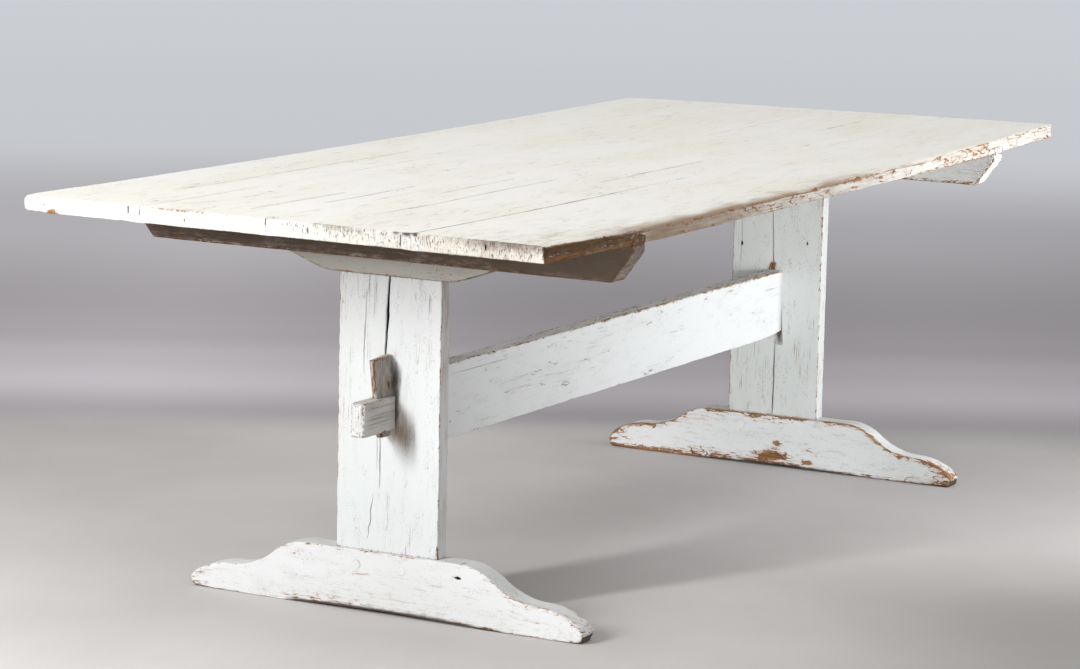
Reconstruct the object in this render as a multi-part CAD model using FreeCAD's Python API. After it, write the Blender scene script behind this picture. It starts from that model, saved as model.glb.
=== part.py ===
"""Old painted trestle table: a loose plank top on two plank trestles, held apart by one wedged stretcher.

Millimetres. The origin is on the floor under the middle of the top, +X runs along the length from the
left trestle to the right one, +Y to the back edge, and +Z up.
"""
import FreeCAD
import Part
import math
import os

Vector = FreeCAD.Vector
X_AXIS = Vector(1, 0, 0)
Y_AXIS = Vector(0, 1, 0)

# The top: four planks edge to edge, from the back edge to the front edge
table_height = 735.0
top_length = 2240.0
top_thickness = 28.0
board_widths = {
    "back_board": 231.0,
    "back_middle_board": 248.0,
    "front_middle_board": 277.0,
    "front_board": 244.0,
}
worn_corner_radius = 8.0
arris_radius = 3.0

# The two battens across the underside, each with a dovetailed tongue let into the planks
batten_width = 46.0
batten_depth = 70.0
batten_end_face = 15.0
batten_end_slant = 38.0
left_batten_setback = 328.0
right_batten_setback = 305.0
tongue_height = 14.0
tongue_neck_width = 37.0
tongue_head_width = 45.0
tongue_clearance = 0.2

# How the top sits: its right batten lies against the right saddle, its left one stands off
right_batten_play = 0.5
left_batten_gap = 11.0

# The trestles: a plank leg tenoned into a foot below and a saddle above
leg_width = 206.0
leg_thickness = 30.0
leg_tenon_width = 160.0
leg_tenon_thickness = 18.0
leg_tenon_length = 62.0
leg_tenon_end_gap = 2.0
saddle_thickness = 40.0
saddle_depth = 107.0
saddle_end_depth = 42.0
saddle_length = 620.0
saddle_flat_length = 260.0

# The feet: a level crest under the leg, an ogee down to each blunt toe, and a slightly hollow sole
foot_thickness = 45.0
foot_height = 110.0
foot_length = 804.0
foot_crest_length = 310.0
toe_length = 88.0
toe_height = 54.0
toe_nose_height = 18.0
toe_undercut = 7.0
toe_nose_share = 0.35
toe_crown_share = 0.45
ogee_turn_share = 0.44
sole_length = 196.0
sole_hollow = 5.0
left_foot_shift = 6.0
right_foot_shift = -14.0

# Draw pegs through the leg's tenons, with their places across each leg
peg_diameter = 18.0
peg_clearance = 0.1
peg_proud = 1.0
foot_peg_drop = 27.0
left_foot_peg_back = 58.0
left_foot_peg_front = -34.0
right_foot_peg_back = 69.0
right_foot_peg_front = -71.0
saddle_peg_rise = 30.0
saddle_peg_back = 52.0
saddle_peg_front = -52.0

# The stretcher: eased up at its lower ends, housed in both legs, with a tusk tenon through each
stretcher_thickness = 35.0
stretcher_height = 136.0
stretcher_floor_gap = 285.0
stretcher_shift = 4.0
stretcher_end_run = 110.0
stretcher_end_rise = 8.0
housing_depth = 5.0
housing_drop = 12.0
tusk_thickness = 28.0
tusk_height = 60.0
tusk_rise = 46.0
tusk_reach = 105.0
joint_clearance = 0.3

# The wedges: upright tapered keys between each leg and the end of its tusk's slot
wedge_thickness = 14.0
wedge_length = 144.0
wedge_top_width = 58.0
wedge_foot_width = 30.0
wedge_foot_drop = 12.0
wedge_top_slope = 3.0
wedge_clearance = 0.3
wedge_slot_relief = 6.0

# How far a cutting solid runs past the face that it opens
overrun = 5.0

# Places worked out from the sizes above
top_width = sum(board_widths.values())
underside = table_height - top_thickness
saddle_bottom = underside - saddle_depth
left_batten_x = -top_length / 2 + left_batten_setback
right_batten_x = top_length / 2 - right_batten_setback
batten_to_trestle = batten_width / 2 + saddle_thickness / 2
left_trestle_x = left_batten_x + batten_to_trestle + left_batten_gap
right_trestle_x = right_batten_x + batten_to_trestle + right_batten_play
stretcher_top = stretcher_floor_gap + stretcher_height
tusk_bottom = stretcher_floor_gap + tusk_rise
tusk_top = tusk_bottom + tusk_height
tusk_middle = stretcher_shift - (stretcher_thickness - tusk_thickness) / 2
foot_peg_height = foot_height - foot_peg_drop
saddle_peg_height = saddle_bottom + saddle_peg_rise
saddle_pegs = {"back": saddle_peg_back, "front": saddle_peg_front}
left_foot_pegs = {"back": left_foot_peg_back, "front": left_foot_peg_front}
right_foot_pegs = {"back": right_foot_peg_back, "front": right_foot_peg_front}


def block(x, y, size_x, size_y, bottom, top):
    """A box centred on x and y, between two heights."""
    corner = Vector(x - size_x / 2, y - size_y / 2, bottom)
    return Part.makeBox(size_x, size_y, top - bottom, corner)


def plate(edges, direction, middle, thickness):
    """A plate with an outline drawn in the plane through the origin, centred on a place along a direction."""
    face = Part.Face(Part.Wire(Part.__sortEdges__(edges)))
    face.translate(direction * (middle - thickness / 2))
    return face.extrude(direction * thickness)


def polygon_across(points):
    """The closed run of straight edges through (y, z) points."""
    corners = [Vector(0, y, z) for y, z in points]
    return Part.makePolygon(corners + corners[:1]).Edges


def polygon_along(points):
    """The closed run of straight edges through (x, z) points."""
    corners = [Vector(x, 0, z) for x, z in points]
    return Part.makePolygon(corners + corners[:1]).Edges


def level_arc(level, other):
    """The upright arc between two points that lies level at the first one."""
    step = other - level
    run = Vector(step.x, step.y, 0)
    half_slope = math.atan2(step.z, run.Length) / 2
    middle = level + run * 0.5 + Vector(0, 0, run.Length / 2 * math.tan(half_slope))
    return Part.Arc(level, middle, other).toShape()


def rod(x, y, z, diameter, length):
    """A round bar along X, centred on a point."""
    return Part.makeCylinder(diameter / 2, length, Vector(x - length / 2, y, z), X_AXIS)


def drill(piece, x, places, height, depth):
    """The piece with a hole along X at each peg's place."""
    for y in places.values():
        piece = piece.cut(rod(x, y, height, peg_diameter + 2 * peg_clearance, depth))
    return piece


def tongue(x, clearance):
    """A batten's dovetailed tongue, wider at its head, grown at its sides and head by a clearance."""
    neck = tongue_neck_width / 2 + clearance
    head = tongue_head_width / 2 + clearance
    top = underside + tongue_height + clearance
    outline = [(x - neck, underside), (x + neck, underside), (x + head, top), (x - head, top)]
    return plate(polygon_along(outline), Y_AXIS, 0, top_width)


def is_back_corner(edge):
    """True for the two upright edges at the ends of the top's back edge."""
    middle = edge.CenterOfMass
    return math.isclose(middle.z, (underside + table_height) / 2) and math.isclose(middle.y, top_width / 2)


def is_rim(edge, back, front):
    """True for the upper edges of a plank that lie on the top's outline, not on a seam."""
    on_top = math.isclose(edge.BoundBox.Center.z, table_height) and edge.BoundBox.ZLength < arris_radius
    middle = edge.CenterOfMass
    on_seam = any(math.isclose(middle.y, y) and abs(y) < top_width / 2 for y in (back, front))
    return on_top and not on_seam


def board(back, front):
    """One plank of the top between two lines of Y, grooved for both battens."""
    plank = block(0, (back + front) / 2, top_length, back - front, underside, table_height)
    corners = [edge for edge in plank.Edges if is_back_corner(edge)]
    if corners:
        plank = plank.makeFillet(worn_corner_radius, corners)
    rim = [edge for edge in plank.Edges if is_rim(edge, back, front)]
    plank = plank.makeFillet(arris_radius, rim)
    for x in (left_batten_x, right_batten_x):
        plank = plank.cut(tongue(x, tongue_clearance))
    return plank


def batten(x):
    """A cross batten with its ends cut back below the top, and its tongue in the planks."""
    half = top_width / 2
    outline = [(half, underside), (half, underside - batten_end_face)]
    outline += [(half - batten_end_slant, underside - batten_depth)]
    outline += [(-y, z) for y, z in reversed(outline)]
    bar = plate(polygon_across(outline), X_AXIS, x, batten_width)
    return bar.fuse(tongue(x, 0)).removeSplitter()


def curve_between(*poles):
    """A smooth curve from the first pole to the last one, drawn towards those between."""
    curve = Part.BezierCurve()
    curve.setPoles(list(poles))
    return curve.toShape()


def toe_curves(sole_end, nose, crown):
    """The toe's outline: up from the sole's end to the upright nose, then round to the level crown."""
    under_pole = nose - Vector(0, 0, nose.z * (1 - toe_nose_share))
    nose_pole = nose + Vector(0, 0, (crown.z - nose.z) * toe_nose_share)
    crown_pole = crown + Vector(0, toe_length * toe_crown_share, 0)
    return [curve_between(sole_end, under_pole, nose), curve_between(nose, nose_pole, crown_pole, crown)]


def ogee_curves(crown, crest):
    """The hollow arc and the round arc between the toe's crown and the crest, level at both ends."""
    turn = crest + (crown - crest) * ogee_turn_share
    return [level_arc(crown, turn), level_arc(crest, turn)]


def foot_blank(x, shift):
    """The foot's plain body, moved along itself by a shift: crest, ogees, toes and hollow sole."""
    half = foot_length / 2
    crown = Vector(0, half - toe_length, toe_height)
    crest = Vector(0, foot_crest_length / 2, foot_height)
    nose = Vector(0, half, toe_nose_height)
    sole_end = Vector(0, half - toe_undercut, 0)
    heel = Vector(0, half - sole_length, 0)
    hollow = Part.Arc(heel, Vector(0, 0, sole_hollow), Vector(0, -heel.y, 0)).toShape()
    back = [*toe_curves(sole_end, nose, crown), *ogee_curves(crown, crest), Part.makeLine(sole_end, heel)]
    front = [edge.mirror(Vector(0, 0, 0), Y_AXIS) for edge in back]
    level_crest = Part.makeLine(crest, Vector(0, -crest.y, crest.z))
    blank = plate([*back, *front, level_crest, hollow], X_AXIS, x, foot_thickness)
    return blank.translated(Y_AXIS * shift)


def leg_tenon(x, shoulder, end, clearance):
    """A leg's tenon, or its mortise, between the shoulder's height and the tenon's end."""
    thickness = leg_tenon_thickness + 2 * clearance
    width = leg_tenon_width + 2 * clearance
    return block(x, 0, thickness, width, min(shoulder, end), max(shoulder, end))


def foot(x, shift, pegs):
    """A foot mortised and drilled for the leg that stands on its crest."""
    mortise_end = foot_height - leg_tenon_length - leg_tenon_end_gap
    blank = foot_blank(x, shift).cut(leg_tenon(x, foot_height, mortise_end, joint_clearance))
    return drill(blank, x, pegs, foot_peg_height, foot_thickness)


def saddle(x):
    """The bearer under the top, bevelled up to its ends, mortised and drilled for the leg."""
    half = saddle_length / 2
    outline = [(half, underside), (half, underside - saddle_end_depth)]
    outline += [(saddle_flat_length / 2, saddle_bottom)]
    outline += [(-y, z) for y, z in reversed(outline)]
    bar = plate(polygon_across(outline), X_AXIS, x, saddle_thickness)
    mortise_end = saddle_bottom + leg_tenon_length + leg_tenon_end_gap
    bar = bar.cut(leg_tenon(x, saddle_bottom, mortise_end, joint_clearance))
    return drill(bar, x, saddle_pegs, saddle_peg_height, saddle_thickness)


def leg(x, outward, foot_pegs):
    """A plank leg with its two tenons, the stretcher's housing and the tusk's mortise."""
    plank = block(x, 0, leg_thickness, leg_width, foot_height, saddle_bottom)
    plank = plank.fuse(leg_tenon(x, foot_height, foot_height - leg_tenon_length, 0))
    plank = plank.fuse(leg_tenon(x, saddle_bottom, saddle_bottom + leg_tenon_length, 0))
    plank = drill(plank, x, foot_pegs, foot_peg_height, leg_thickness)
    plank = drill(plank, x, saddle_pegs, saddle_peg_height, leg_thickness)
    inner = x - outward * leg_thickness / 2
    housing_x = inner + outward * (housing_depth - overrun) / 2
    housing_width = stretcher_thickness + 2 * joint_clearance
    plank = plank.cut(block(housing_x, stretcher_shift, housing_depth + overrun, housing_width,
                            stretcher_floor_gap - housing_drop, stretcher_top + joint_clearance))
    mortise_width = tusk_thickness + 2 * joint_clearance
    plank = plank.cut(block(x, tusk_middle, leg_thickness + 2 * overrun, mortise_width,
                            tusk_bottom - joint_clearance, tusk_top + joint_clearance))
    return plank.removeSplitter()


def wedge_outline(x, outward, clearance):
    """A wedge's outline as (x, z) points, its front face moved out by a clearance."""
    back = x + outward * (leg_thickness / 2 + wedge_clearance)
    foot_z = tusk_bottom - wedge_foot_drop
    top_z = foot_z + wedge_length
    foot_x = back + outward * (wedge_foot_width + clearance)
    top_x = back + outward * (wedge_top_width + clearance)
    return [(back, foot_z), (foot_x, foot_z), (top_x, top_z - wedge_top_slope), (back, top_z)]


def wedge(x, outward):
    """One tapered key, straight against the leg and sloping on its outer face."""
    return plate(polygon_along(wedge_outline(x, outward, 0)), Y_AXIS, tusk_middle, wedge_thickness)


def wedge_slot(x, outward):
    """The slot through a tusk: the wedge's room, run back into the leg so that the wedge can pull."""
    thickness = wedge_thickness + 2 * wedge_clearance
    outline = wedge_outline(x, outward, wedge_clearance)
    room = plate(polygon_along(outline), Y_AXIS, tusk_middle, thickness)
    face = x + outward * leg_thickness / 2
    relief_x = face + outward * (overrun - wedge_slot_relief) / 2
    relief = block(relief_x, tusk_middle, wedge_slot_relief + overrun, thickness,
                   tusk_bottom - overrun, tusk_top + overrun)
    return room.fuse(relief)


def rail(left, right):
    """The stretcher's long board between two shoulders, its lower edge eased up to both."""
    left_end = Vector(left, 0, stretcher_floor_gap + stretcher_end_rise)
    right_end = Vector(right, 0, stretcher_floor_gap + stretcher_end_rise)
    left_level = Vector(left + stretcher_end_run, 0, stretcher_floor_gap)
    right_level = Vector(right - stretcher_end_run, 0, stretcher_floor_gap)
    left_top = Vector(left, 0, stretcher_top)
    right_top = Vector(right, 0, stretcher_top)
    edges = [level_arc(left_level, left_end), level_arc(right_level, right_end)]
    edges += [Part.makeLine(left_level, right_level), Part.makeLine(left_top, right_top)]
    edges += [Part.makeLine(left_end, left_top), Part.makeLine(right_end, right_top)]
    return plate(edges, Y_AXIS, stretcher_shift, stretcher_thickness)


def stretcher():
    """The rail seated in both legs' housings, with a slotted tusk tenon at each end, flush with its front."""
    seat = leg_thickness / 2 - housing_depth
    board = rail(left_trestle_x + seat, right_trestle_x - seat)
    left_end = left_trestle_x - leg_thickness / 2 - tusk_reach
    right_end = right_trestle_x + leg_thickness / 2 + tusk_reach
    tusks = block((left_end + right_end) / 2, tusk_middle, right_end - left_end,
                  tusk_thickness, tusk_bottom, tusk_top)
    board = board.fuse(tusks).removeSplitter()
    board = board.cut(wedge_slot(left_trestle_x, -1))
    return board.cut(wedge_slot(right_trestle_x, 1))


def trestle(side, x, outward, foot_shift, foot_pegs):
    """The named pieces of one trestle, with its pegs and its wedge."""
    pieces = {
        f"{side}_foot": foot(x, foot_shift, foot_pegs),
        f"{side}_leg": leg(x, outward, foot_pegs),
        f"{side}_saddle": saddle(x),
        f"{side}_wedge": wedge(x, outward),
    }
    for place, y in foot_pegs.items():
        length = foot_thickness + 2 * peg_proud
        pieces[f"{side}_foot_{place}_peg"] = rod(x, y, foot_peg_height, peg_diameter, length)
    for place, y in saddle_pegs.items():
        pieces[f"{side}_saddle_{place}_peg"] = rod(x, y, saddle_peg_height, peg_diameter, saddle_thickness)
    return pieces


def top():
    """The planks from back to front, and the battens that hold them."""
    pieces = {"left_batten": batten(left_batten_x), "right_batten": batten(right_batten_x)}
    back = top_width / 2
    for name, width in board_widths.items():
        pieces[name] = board(back, back - width)
        back -= width
    return pieces


nodes = top()
nodes.update(trestle("left", left_trestle_x, -1, left_foot_shift, left_foot_pegs))
nodes.update(trestle("right", right_trestle_x, 1, right_foot_shift, right_foot_pegs))
nodes["stretcher"] = stretcher()

os.makedirs("parts", exist_ok=True)
for name, shape in nodes.items():
    shape.exportStep(f"parts/{name}.step")
    print(name, len(shape.Solids), shape.isValid(), round(shape.Volume))
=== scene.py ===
"""Looks of an old white-painted trestle table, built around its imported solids.

Every piece of timber is worked out with numpy as the skin of a lattice block that is shaped, eased at its
arrises, split and worn. Metres, in the frame of the solids: +X along the table from the left trestle to the
right one, +Y to the back edge, +Z up. The left end is the near one.
"""
import math

import bpy
import numpy as np
from mathutils import Matrix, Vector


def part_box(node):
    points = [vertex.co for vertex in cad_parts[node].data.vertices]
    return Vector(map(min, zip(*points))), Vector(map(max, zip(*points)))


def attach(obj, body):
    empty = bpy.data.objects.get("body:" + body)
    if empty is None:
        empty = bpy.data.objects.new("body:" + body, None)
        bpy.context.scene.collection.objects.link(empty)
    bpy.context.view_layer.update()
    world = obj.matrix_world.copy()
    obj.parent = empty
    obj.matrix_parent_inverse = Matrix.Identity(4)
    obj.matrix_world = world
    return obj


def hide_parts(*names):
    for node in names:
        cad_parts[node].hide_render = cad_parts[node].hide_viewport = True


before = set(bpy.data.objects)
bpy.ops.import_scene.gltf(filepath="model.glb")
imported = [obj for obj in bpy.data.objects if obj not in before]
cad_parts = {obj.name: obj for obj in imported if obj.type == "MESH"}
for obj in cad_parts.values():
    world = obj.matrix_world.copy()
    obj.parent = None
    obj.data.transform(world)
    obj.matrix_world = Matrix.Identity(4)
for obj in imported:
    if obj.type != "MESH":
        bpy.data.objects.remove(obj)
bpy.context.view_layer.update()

MM = 0.001
TINY = 1e-6
AXES = X, Y, Z = 0, 1, 2
# Sides of a block: an axis and a direction along it
LEFT, RIGHT, FRONT, BELOW, ABOVE = (X, -1), (X, 1), (Y, -1), (Z, -1), (Z, 1)

# Where lattice lines gather: near every arris, and beside every crack
ARRIS_LINES = np.array([0.0, 0.6, 1.5, 3.0, 5.0, 8.0, 12.0]) * MM
CRACK_LINES = np.array([-5.0, -2.4, -1.1, -0.45, 0.0, 0.45, 1.1, 2.4, 5.0]) * MM
SPOT_LINES = CRACK_LINES[[2, 4, 6]]
LEAST_LINE_GAP = 0.3 * MM

# What each point tells the finish: rubbed, dirty and in places painted shade, browned and in places painted
# light and shadow, its distance to a crack, and end grain
FIELDS = ("rub", "soil_and_shade", "stain", "split", "end")
PLAIN_RUB = PLAIN_SOIL = 0.1
NO_CRACK = 0.05
SHARP_ANGLE = math.radians(38)


# Numbers that repeat on every run

PLACE_FACTORS = np.array([73856093, 19349663, 83492791])
SEED_FACTOR, MIX_FACTOR = 2654435761, 1274126177
LAST_BITS = 0xFFFF


def hashed(cell, seed):
    """A fixed number from 0 to 1 for each whole-number place, mixed from its bits."""
    mixed = np.bitwise_xor.reduce(cell * PLACE_FACTORS, axis=1) ^ (seed + 1) * SEED_FACTOR
    mixed = (mixed ^ (mixed >> 13)) * MIX_FACTOR
    return ((mixed ^ (mixed >> 16)) & LAST_BITS) / LAST_BITS


def noise(points, size, seed):
    """Smooth noise from -1 to 1: hashed values at the corners of cells of a size, blended by smoothstep."""
    scaled = points / np.asarray(size, float)
    cell = np.floor(scaled).astype(np.int64)
    part = scaled - cell
    part = part * part * (3 - 2 * part)
    total = np.zeros(len(points))
    for corner in np.ndindex(2, 2, 2):
        share = np.prod(np.where(corner, part, 1 - part), axis=1)
        total += share * hashed(cell + np.array(corner), seed)
    return 2 * total - 1


def noise_along(values, size, seed):
    """Smooth noise from -1 to 1 over one coordinate alone."""
    return noise(np.stack([values, 0 * values, 0 * values], axis=1), size, seed)


def step(low, high, value):
    """Smoothstep from 0 at low to 1 at high."""
    t = np.clip((value - low) / (high - low), 0, 1)
    return t * t * (3 - 2 * t)


def fade(distance, reach):
    """1 at no distance, and falling off exponentially over a reach."""
    return np.exp(-distance / reach)


def box_of(node):
    """A node's lowest and highest corners as arrays."""
    return [np.array(corner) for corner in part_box(node)]


# The lattice block

def lattice_lines(low, high, spacing, marks):
    """Lattice places between two ends: even steps, closer ones by both ends, and marks kept exactly."""
    even = np.linspace(low, high, max(2, int(round((high - low) / spacing)) + 1))
    spread = np.concatenate([even, low + ARRIS_LINES, high - ARRIS_LINES])
    inner = np.unique(np.round(np.asarray(marks, float), 6))
    inner = inner[(inner > low + LEAST_LINE_GAP) & (inner < high - LEAST_LINE_GAP)]
    kept = np.concatenate([[low], inner, [high]])
    near = np.abs(spread[:, None] - kept[None, :]).min(axis=1)
    spread = np.sort(spread[(near > LEAST_LINE_GAP) & (spread > low) & (spread < high)])
    spread = spread[np.diff(spread, prepend=-np.inf) > LEAST_LINE_GAP]
    return np.sort(np.concatenate([kept, spread]))


def skin(cells):
    """The quads between filled and empty cells of a lattice, with their corners shared.

    A filled cell whose neighbour along an axis is empty gives the quad of their common side, facing the
    empty one; corners at the same lattice place become one point.
    """
    filled = np.pad(cells, 1)
    quads = []
    for axis in AXES:
        first, second = np.eye(3, dtype=np.int64)[[(axis + 1) % 3, (axis + 2) % 3]]
        for side in (0, 1):
            beside = np.roll(filled, -1 if side else 1, axis)
            base = np.argwhere(filled & ~beside) - 1
            base[:, axis] += side
            loop = [base, base + first, base + first + second, base + second]
            quads.append(np.stack(loop if side else loop[::-1], axis=1))
    corners = np.concatenate(quads).reshape(-1, 3)
    size = np.array(cells.shape) + 1
    codes = (corners[:, X] * size[Y] + corners[:, Y]) * size[Z] + corners[:, Z]
    found, index = np.unique(codes, return_inverse=True)
    places = np.stack([found // (size[Y] * size[Z]), found // size[Z] % size[Y], found % size[Z]], axis=1)
    return places, index.reshape(-1, 4)


def crack_on(side, across, at, along, span, half, depth, taper, lines=CRACK_LINES):
    """A crack on one side of a block, at a place across and over a span along; half width and depth in mm."""
    return {"side": side, "across": across, "at": at, "along": along, "span": span,
            "half": half * MM, "depth": depth * MM, "taper": taper, "lines": lines}


class Timber:
    """A squared piece of timber as a lattice block's skin, to be shaped, split, eased and worn."""

    def __init__(self, low, high, spacing, cracks=(), holes=(), y_marks=()):
        low, high = np.array(low, float), np.array(high, float)
        marks = {X: [], Y: list(y_marks), Z: []}
        for crack in cracks:
            marks[crack["across"]] += list(crack["at"] + crack["lines"])
        for ends in holes:
            for axis in AXES:
                marks[axis] += [end[axis] for end in ends if low[axis] < end[axis] < high[axis]]
        lines = [lattice_lines(low[i], high[i], spacing[i] * MM, marks[i]) for i in AXES]
        middles = [(line[1:] + line[:-1]) / 2 for line in lines]
        cells = np.ones([len(m) for m in middles], bool)
        for hole_low, hole_high in holes:
            gone = [(m > a) & (m < b) for m, a, b in zip(middles, hole_low, hole_high)]
            cells &= ~(gone[X][:, None, None] & gone[Y][None, :, None] & gone[Z][None, None, :])
        corners, self.quads = skin(cells)
        self.flat = np.stack([lines[i][corners[:, i]] for i in AXES], axis=1)
        self.p = self.flat.copy()
        count = len(self.p)
        self.low, self.high = np.tile(low, (count, 1)), np.tile(high, (count, 1))
        self.cracks = cracks
        self.rub, self.soil_and_shade = np.full(count, PLAIN_RUB), np.full(count, PLAIN_SOIL)
        self.split = np.full(count, NO_CRACK)
        self.stain, self.sink, self.end = np.zeros(count), np.zeros(count), np.zeros(count)

    def fit(self, axis, low, high):
        """Stretches the block along one axis to limits that are given for every point."""
        share = (self.p[:, axis] - self.low[:, axis]) / (self.high[:, axis] - self.low[:, axis])
        self.p[:, axis] = low + share * (high - low)
        self.low[:, axis], self.high[:, axis] = low, high

    def edge_distance(self):
        """How far each point of the skin is from the nearest arris: its second smallest distance to a side."""
        side = np.minimum(self.p - self.low, self.high - self.p)
        return np.sort(side, axis=1)[:, 1]

    def on(self, side):
        """True for the points on one side of the block, with its arrises, as long as it isn't eased."""
        axis, sign = side
        limit = self.high if sign > 0 else self.low
        return np.abs(self.p[:, axis] - limit[:, axis]) < TINY

    def open_cracks(self):
        """Each crack: a groove about a line on one side, as wide as its half width, narrowing to its ends.

        The signed distance to the groove's edge is kept for the finish, and its depth for the relief.
        """
        for crack in self.cracks:
            across = np.abs(self.flat[:, crack["across"]] - crack["at"])
            along = self.flat[:, crack["along"]]
            start, end = crack["span"]
            inside = np.minimum(along - start, end - along)
            half = crack["half"] * np.sqrt(np.clip(inside / crack["taper"], 0, 1))
            away = np.hypot(np.maximum(across - half, 0), np.maximum(-inside, 0))
            away = np.where(away > 0, away, across - half)
            away = np.where(inside > 0, away, np.maximum(away, 0.4 * MM))
            here = self.on(crack["side"])
            self.split = np.where(here, np.minimum(self.split, away), self.split)
            slope = np.clip(1 - across / (half + 0.5 * MM), 0, 1) * np.clip(half / crack["half"], 0, 1)
            self.sink = np.where(here, np.maximum(self.sink, crack["depth"] * slope), self.sink)

    def ease(self, radius):
        """Rounds the arrises, and gives each point's direction out of the block.

        A point goes to the nearest place in the block less the radius all round, and the radius out from it.
        """
        room = (self.high - self.low).min(axis=1) * 0.48
        radius = np.minimum(radius, room)[:, None]
        near = np.clip(self.p, self.low + radius, self.high - radius)
        away = self.p - near
        reach = np.linalg.norm(away, axis=1, keepdims=True)
        outwards = away / np.maximum(reach, 1e-9)
        self.p = near + outwards * np.minimum(reach, radius)
        return outwards

    def wear(self, seed, grain, radius, chip, edge_rub, edge_width, sway=0.5 * MM):
        """Eases, chips and roughens the piece, and marks where the paint has rubbed off.

        The arris radius swells where chip noise is high; the sides sway with long noise and follow the grain
        with noise that is stretched along it; cracks sink in.
        """
        grain_size, long_size = np.full(3, 0.007), np.full(3, 0.09)
        grain_size[grain], long_size[grain] = 0.12, 0.3
        edge = self.edge_distance()
        self.end = np.maximum(self.end, self.on((grain, 1)) | self.on((grain, -1)))
        chips = step(0.25, 0.75, noise(self.p, 0.016, seed)) + step(0.35, 0.8, noise(self.p, 0.045, seed + 1))
        swell = 1 + 0.5 * noise(self.p, 0.05, seed + 2)
        self.open_cracks()
        self.rub += edge_rub * fade(edge, edge_width) * (0.8 + 0.35 * chips)
        outwards = self.ease(radius * swell + chip * chips)
        relief = sway * noise(self.p, long_size, seed + 3) + 0.12 * MM * noise(self.p, grain_size, seed + 4)
        self.p = self.p + outwards * (relief - self.sink)[:, None]

    def mark(self, rows):
        """Adds marks of a field, centre, radii and amount: the amount times a bell over the scaled distance."""
        for field, centre, radii, amount in rows:
            away = np.linalg.norm((self.flat - np.array(centre)) / np.array(radii), axis=1)
            setattr(self, field, getattr(self, field) + amount * np.exp(-away ** 2))


def join(*timbers):
    """Several timbers' skins as one set of arrays."""
    offsets = np.cumsum([0] + [len(t.p) for t in timbers[:-1]])
    quads = np.concatenate([t.quads + offset for t, offset in zip(timbers, offsets)])
    fields = {f: np.concatenate([getattr(t, f) for t in timbers]) for f in FIELDS}
    return np.concatenate([t.p for t in timbers]), quads, fields


def place(name, node, body, material, surface):
    """Puts a skin into a mesh that rides on a body in place of a node, with its fields as attributes."""
    points, quads, fields = surface
    mesh = bpy.data.meshes.new(name)
    mesh.vertices.add(len(points))
    mesh.vertices.foreach_set("co", points.astype(np.float32).ravel())
    mesh.loops.add(quads.size)
    mesh.loops.foreach_set("vertex_index", quads.astype(np.int32).ravel())
    mesh.polygons.add(len(quads))
    mesh.polygons.foreach_set("loop_start", np.arange(0, quads.size, quads.shape[1], dtype=np.int32))
    mesh.polygons.foreach_set("use_smooth", np.ones(len(quads), bool))
    mesh.update(calc_edges=True)
    mesh.validate()
    mesh.set_sharp_from_angle(angle=SHARP_ANGLE)
    for field, values in fields.items():
        attribute = mesh.attributes.new(field, "FLOAT", "POINT")
        attribute.data.foreach_set("value", values.astype(np.float32))
    mesh.materials.append(material)
    piece = bpy.data.objects.new(name, mesh)
    bpy.context.scene.collection.objects.link(piece)
    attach(piece, body)
    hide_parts(node)


# Finishes

class Finish:
    """The node tree of a material or the world, with short ways to add nodes."""

    def __init__(self, owner):
        owner.use_nodes = True
        self.owner = owner
        self.tree = owner.node_tree
        self.tree.nodes.clear()

    def add(self, kind, inputs=None, **settings):
        """A node with its settings, and its sockets given values or links."""
        node = self.tree.nodes.new("ShaderNode" + kind)
        for key, value in settings.items():
            setattr(node, key, value)
        for key, value in (inputs or {}).items():
            if isinstance(value, bpy.types.NodeSocket):
                self.tree.links.new(value, node.inputs[key])
            else:
                node.inputs[key].default_value = value
        return node

    def grain(self, axis, along, across, detail, rough=0.55, shift=0.0):
        """Noise on Object coordinates with so many waves a metre along the grain and across it."""
        scale = [across] * 3
        scale[axis] = along
        where = self.add("TexCoord").outputs["Object"]
        mapped = self.add("Mapping", {"Vector": where, "Scale": scale, "Location": (shift, shift, shift)})
        made = self.add("TexNoise", {"Vector": mapped.outputs[0], "Scale": 1.0, "Detail": detail,
                                     "Roughness": rough})
        return made.outputs[0]

    def looked_at(self):
        """1 for rays from the camera, from a gloss or through glass, and 0 for rays that light the scene."""
        rays = self.add("LightPath").outputs
        return self.math("MAXIMUM", rays["Is Camera Ray"],
                         self.math("MAXIMUM", rays["Is Glossy Ray"], rays["Is Transmission Ray"]))

    def field(self, name):
        """A field that the piece carries on its points."""
        return self.add("Attribute", attribute_name=name).outputs["Fac"]

    def math(self, operation, *values):
        """One sum on one to three values."""
        return self.add("Math", dict(enumerate(values)), operation=operation).outputs[0]

    def total(self, first, *others):
        """Several values added up."""
        for other in others:
            first = self.math("ADD", first, other)
        return first

    def product(self, first, *others):
        """Several values multiplied."""
        for other in others:
            first = self.math("MULTIPLY", first, other)
        return first

    def swing(self, value, amount):
        """A noise about zero: it less a half, times an amount."""
        return self.math("MULTIPLY_ADD", value, amount, -amount / 2)

    def off_middle(self, value):
        """How far a noise is from a half: small along its contour lines."""
        return self.math("ABSOLUTE", self.math("SUBTRACT", value, 0.5))

    def ramp(self, value, low, high, to_low=0.0, to_high=1.0):
        """Smoothstep of a value between two limits."""
        inputs = {"Value": value, "From Min": low, "From Max": high, "To Min": to_low, "To Max": to_high}
        return self.add("MapRange", inputs, interpolation_type="SMOOTHSTEP").outputs[0]

    def blend(self, share, a, b):
        """One value into another by a share."""
        return self.add("Mix", {0: share, 2: a, 3: b}, data_type="FLOAT").outputs[0]

    def mix(self, share, a, b):
        """One colour into another by a share."""
        a, b = (c if isinstance(c, bpy.types.NodeSocket) else (*c, 1.0) for c in (a, b))
        return self.add("Mix", {0: share, 6: a, 7: b}, data_type="RGBA").outputs[2]


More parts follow.
